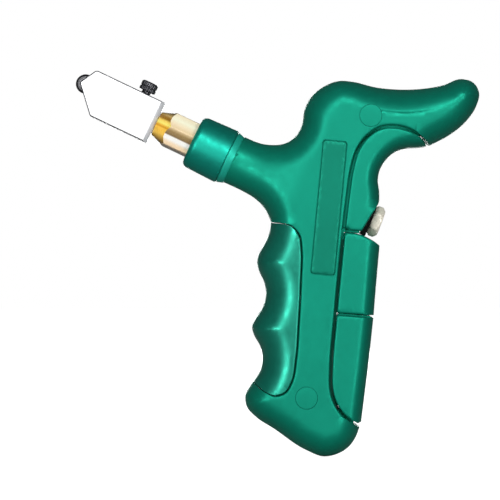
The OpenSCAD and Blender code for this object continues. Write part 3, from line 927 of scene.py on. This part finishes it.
# ---------------------------------------------------------------- neck, shank and bolt
def build_neck():
    bore, front_bore, rear = 7.05, 7.4, -11.82
    profile = [(rear, bore), (rear, COLLAR_R - 0.35)] + fillet(rear, COLLAR_R - 0.35, -11.4, COLLAR_R)
    profile += [(-8, COLLAR_R - 0.08), (-3, COLLAR_R - 0.26), (-0.6, COLLAR_R - 0.36)]
    profile += fillet(-0.2, COLLAR_R - 0.38, 2, 7.8, n=8)
    profile += [(2, front_bore), (-2.8, front_bore), (-2.8, bore), (rear, bore)]
    collar = turned("lock_sleeve", NECK, profile, 128)
    dress(collar, "collar", "collar", "green_gloss", "lock_collar")
    bore = 7
    profile = [(NECK_MOUTH, bore), (NECK_MOUTH, 8.85)] + fillet(NECK_MOUTH, 8.85, -14.2, 9.05, n=3)
    profile += [(-12.3, 9.66), (-11.95, 9.6), (-11.9, 9.3), (-11.9, bore), (NECK_MOUTH, bore)]
    ring = turned("clamp_ring", NECK, profile, 128)
    dress(ring, "ring", "handle", "ring_green", "collar_ring")


def build_shank():
    """Hexagon bar whose front is turned to a cone, on a plain round stem. The turned part is gold."""
    hexagon = six_sided(12.16, 38)
    cone_start, shoulder, cone_end = 10.8, 12.1, 16.4
    bar = [(-2.5, 6.1), (-2.1, 7), (10.7, 7.2)]
    for k in np.linspace(0, 1, 14):
        bar.append((cone_start + (shoulder - cone_start) * k, 7.1 - 1.08 * k))
    bar += [(14.2, 5.22), (cone_end - 0.15, 4.5), (cone_end, 4.3)]
    made = turned("brass_hexagon", NECK, bar, 180, within(hexagon))
    dress(made, "brass", "shank", "brass", "brass_shank")
    made.data.materials.append(MATERIALS["gold"])
    to_neck = NECK.inverted()
    for polygon in made.data.polygons:
        v = to_neck @ (polygon.center / MM)
        flat = hexagon(np.array([math.atan2(v.y, v.x)]))[0]
        if v.z > cone_start and math.hypot(v.x, v.y) < flat - 0.03:
            polygon.material_index = 1
    stem = [(-41, 4), (-40.6, 4.5), (-2.5, 4.5), (-2.5, 2.5), (30.2, 2.5), (30.6, 2.1)]
    made = turned("shank_stem", NECK, stem, 64)
    dress(made, "brass", "shank", "brass", "brass_shank")


def build_bolt():
    head = [(0, 3.0), (0, 4.6), (0.25, 5.0), (0.6, 5.3), (1.0, 5.7), (2.6, 5.7), (3.0, 5.3), (3.4, 4.9)]
    head += fillet(3.4, 4.75, 3.8, 4.3, n=3)
    head += [(3.8, 3.6), (3.65, 3.45), (2.7, 3.4), (2.65, 2.3), (3.4, 2.2), (3.5, 0.4)]
    made = turned("bolt_head", BOLT, head, 144, within(six_sided(9.9)))
    dress(made, "pale", "notch_bolt", "pale_brass", "hex_bolt")
    crest, depth, pitch, turns = 2.98, 0.35, 1.0, 16
    thread = [(-18, 2.3), (-17.4, 2.95)]
    for k in range(turns):
        z = -17.2 + k * pitch
        thread += [(z, crest), (z + pitch / 2, crest - depth)]
    thread += [(-0.8, crest), (0.1, crest)]
    made = turned("bolt_thread", BOLT, thread, 64, sharp=20)
    dress(made, "pale", "notch_bolt", "pale_brass", "hex_bolt")


# ---------------------------------------------------------------- cutting heads
HEAD_T = 8.0
WHEEL_R = 3.5


def axle_frame(place):
    return place @ Matrix.Translation((WHEEL_AT[0], 0, WHEEL_AT[1])) @ QUARTER_X


def knob_frame(place):
    return place @ Matrix.Translation((0, 0, KNOB_Z)) @ QUARTER_Y


def build_block(name, place, body, node):
    """Cutting head: a flat block with its rear edges chamfered, the wheel's slot and the bores."""
    half, chamfer = HEAD_T / 2, 1.5
    made = plate(name, Edge(small(closed_line(HEAD_OUTLINE), 0.42)), flat_half(half), place @ PLANE, grid=2.2)
    lie = place @ Matrix(((0, 0, 1, 0), (1, 0, 0, 0), (0, 1, 0, 0), (0, 0, 0, 1)))
    wedges = []
    for side in (-1, 1):
        outer, inner = side * (half + 0.75), side * (half - 1.875)
        wedges.append(prism("wedge", [(outer, chamfer + 1), (inner, -1), (outer, -1)], -12, 12, lie))
    cut(
        made, *wedges,
        rod("slot", WHEEL_R + 0.35, -1.15, 1.15, axle_frame(place)),
        rod("pin_hole", 0.72, -6, 6, axle_frame(place)),
        rod("stem_bore", 2.55, -1, 15, place),
        rod("screw_hole", 1.55, 0, 10, knob_frame(place)),
    )
    dress(made, "head", body, "head_steel", node)
    made.data.materials.append(MATERIALS["side"])
    made.data.materials.append(MATERIALS["shaded_bevel"])
    flat = (place.to_3x3() @ Vector((0, 1, 0))).normalized()
    shaded_edge_area = 3e-6
    for polygon in made.data.polygons:
        facing = abs(polygon.normal.dot(flat))
        # Small faces turned away from the flat sides (narrow rounded edges, walls of the slot and bores) get
        # the dark grey: painted shade
        if facing < 0.985 and polygon.area < shaded_edge_area:
            polygon.material_index = 1
        # The chamfers, turned partly away, get the mid grey: painted shade
        elif 0.6 < facing < 0.95:
            polygon.material_index = 2


def build_wheel(name, place, body, node):
    axle = axle_frame(place)
    profile = [
        (-0.95, 0.75), (-0.95, 1.7), (-0.75, 1.85), (-0.75, 2.3), (-0.95, 2.45), (-0.95, 2.65),
        (-0.1, WHEEL_R - 0.02), (0, WHEEL_R), (0.1, WHEEL_R - 0.02), (0.95, 2.65), (0.95, 2.45),
        (0.75, 2.3), (0.75, 1.85), (0.95, 1.7), (0.95, 0.75), (-0.95, 0.75),
    ]
    made = turned(name, axle, profile, 96, sharp=25)
    dress(made, "wheel", body, "wheel_black", node)
    made.data.materials.append(MATERIALS["disc"])
    side = (axle.to_3x3() @ Vector((0, 0, 1))).normalized()
    for polygon in made.data.polygons:
        if abs(polygon.normal.dot(side)) > 0.9:
            polygon.material_index = 1


def build_knob(name, place, body, node):
    """Knurled thumbscrew: straight knurling on the knob, a plain neck and a short plain shank in place of a
    thread.
    """
    ridges, rib_depth, knurled, outer = 30, 0.12, 2.9, 3.05

    def shape(angles, r):
        rib = np.abs(np.sin(angles * ridges / 2)) * rib_depth
        return np.where(r > knurled, r - rib, r)

    profile = [(2.6, 1.1), (2.9, 1.4), (7.9, 1.4), (8.1, 1.7), (8.75, 1.7), (8.8, 2.5), (8.85, 2.7)]
    profile += [(9.05, outer), (10.1, outer), (10.25, 2.82), (10.45, 2.82), (10.6, outer), (11.9, outer)]
    profile += [(12.15, 2.8), (12.35, 2.5), (12.4, 2.0), (12.3, 0.5)]
    made = turned(name, knob_frame(place), profile, 240, shape, sharp=30)
    dress(made, "knob", body, "screw_black", node)


def build_heads():
    build_block("cutter_block", HEAD, "head", "head_block")
    build_wheel("scoring_wheel", HEAD, "wheel", "cutting_wheel")
    build_knob("clamp_knob", HEAD, "clamp_screw", "thumbscrew")
    for side in ("upper", "lower"):
        place = spare_frame(side)
        build_block("spare_head_" + side, place, "handle", "spare_block_" + side)
        build_wheel("spare_disc_" + side, place, side + "_spare_wheel", "spare_wheel_" + side)
        build_knob("spare_knob_" + side, place, side + "_spare_screw", "spare_thumbscrew_" + side)


def dress_cad_nodes():
    """CAD nodes that keep their own shape get a finished material."""
    for node, material in (
        # bolt_insert's gold carries the same painted reflection bands
        # notch_buffer's black stands in for the shadow in the notch: painted shade
        ("notch_buffer", "notch_shade_black"), ("bolt_insert", "gold"), ("shell_screws", "steel"),
        ("neck_bush", "steel"), ("shank_clip", "steel"), ("wheel_axle", "head"),
        ("storage_tray", "tray"), ("door_pin", "steel"), ("spare_axles", "axle"),
    ):
        obj = frame["nodes"][node]
        obj.data.materials.clear()
        obj.data.materials.append(MATERIALS[material])


# ---------------------------------------------------------------- studio
def area_light(name, place, target, size, watts):
    data = bpy.data.lights.new(name, "AREA")
    data.shape = "RECTANGLE"
    data.size, data.size_y = size
    data.energy = watts
    lamp = bpy.data.objects.new(name, data)
    lamp.location = place
    lamp.rotation_euler = (Vector(target) - Vector(place)).to_track_quat("-Z", "Y").to_euler()
    bpy.context.scene.collection.objects.link(lamp)


def build_floor():
    """Pale floor, as bright as the background to the camera, that still takes soft shadows."""
    made = bmesh.new()
    bmesh.ops.create_circle(made, cap_ends=True, radius=2.5, segments=96)
    mesh = bpy.data.meshes.new("floor")
    made.to_mesh(mesh)
    made.free()
    floor = bpy.data.objects.new("floor", mesh)
    floor.location.z = cad_box[0][2] - 0.0002
    bpy.context.scene.collection.objects.link(floor)
    paint = Paint("floor_white")
    grey, white = (0.35, 0.35, 0.35, 1), (1, 1, 1, 1)
    paint.set(Base_Color=grey, Roughness=0.8, Emission_Color=white, Specular_IOR_Level=0.1)
    distance = paint.node("VectorMath")
    distance.operation = "LENGTH"
    paint.links.new(paint.coords.outputs["Object"], distance.inputs[0])
    glow = paint.node("MapRange", From_Min=0.15, From_Max=0.8, To_Min=0.93, To_Max=1.0)
    paint.links.new(distance.outputs["Value"], glow.inputs["Value"])
    seen = paint.node("LightPath")
    shown = paint.node("Math")
    shown.operation = "MULTIPLY"
    paint.links.new(glow.outputs["Result"], shown.inputs[0])
    paint.links.new(seen.outputs["Is Camera Ray"], shown.inputs[1])
    paint.links.new(shown.outputs["Value"], paint.shader.inputs["Emission Strength"])
    mesh.materials.append(paint.material)


def build_world():
    """White behind the object, and a dimmer fill that lights it from all round."""
    world = bpy.data.worlds.new("studio")
    world.use_nodes = True
    nodes, links = world.node_tree.nodes, world.node_tree.links
    fill = nodes["Background"]
    fill.inputs["Color"].default_value = (0.92, 0.96, 1, 1)
    fill.inputs["Strength"].default_value = 0.08
    white = nodes.new("ShaderNodeBackground")
    white.inputs["Strength"].default_value = 1.0
    white.inputs["Color"].default_value = (1, 1, 1, 1)
    seen = nodes.new("ShaderNodeLightPath")
    mix = nodes.new("ShaderNodeMixShader")
    links.new(seen.outputs["Is Camera Ray"], mix.inputs["Fac"])
    links.new(fill.outputs["Background"], mix.inputs[1])
    links.new(white.outputs["Background"], mix.inputs[2])
    links.new(mix.outputs["Shader"], nodes["World Output"].inputs["Surface"])
    bpy.context.scene.world = world


def build_studio():
    """Three soft lamps in front and a broad one behind."""
    centre = (cad_box[0] + cad_box[1]) / 2
    away, spread = 0.9, 0.5
    for name, side, up, watts in (
        ("front_left", -spread, 0.02, 4.4), ("front_right", spread, 0.02, 3.5),
        ("front_top", 0, 0.5, 4.6),
    ):
        place = (centre.x + side, centre.y - away, centre.z + up)
        area_light(name, place, centre, (0.2, 0.26), watts)
    area_light("back", (centre.x, centre.y + 1.1, centre.z + 0.04), centre, (0.5, 0.5), 8)


def build_camera():
    """Looks square at the side of the handle, from one metre away."""
    distance, field = 1.0, 0.18
    data = bpy.data.cameras.new("camera")
    data.sensor_width = 36
    data.lens = data.sensor_width * distance / field
    data.clip_start, data.clip_end = 0.01, 20
    camera = bpy.data.objects.new("camera", data)
    camera.location = (-0.0099, -distance, 0.0742)
    camera.rotation_euler = (math.radians(90), 0, 0)
    bpy.context.scene.collection.objects.link(camera)
    bpy.context.scene.camera = camera


for side in SIDES:
    build_shell(side)
build_plates_and_caps()
build_finger_grip()
build_back_pad()
build_doors()
build_neck()
build_shank()
build_bolt()
build_heads()
dress_cad_nodes()
build_floor()
build_world()
build_studio()
build_camera()
bpy.context.scene.view_settings.view_transform = "Standard"
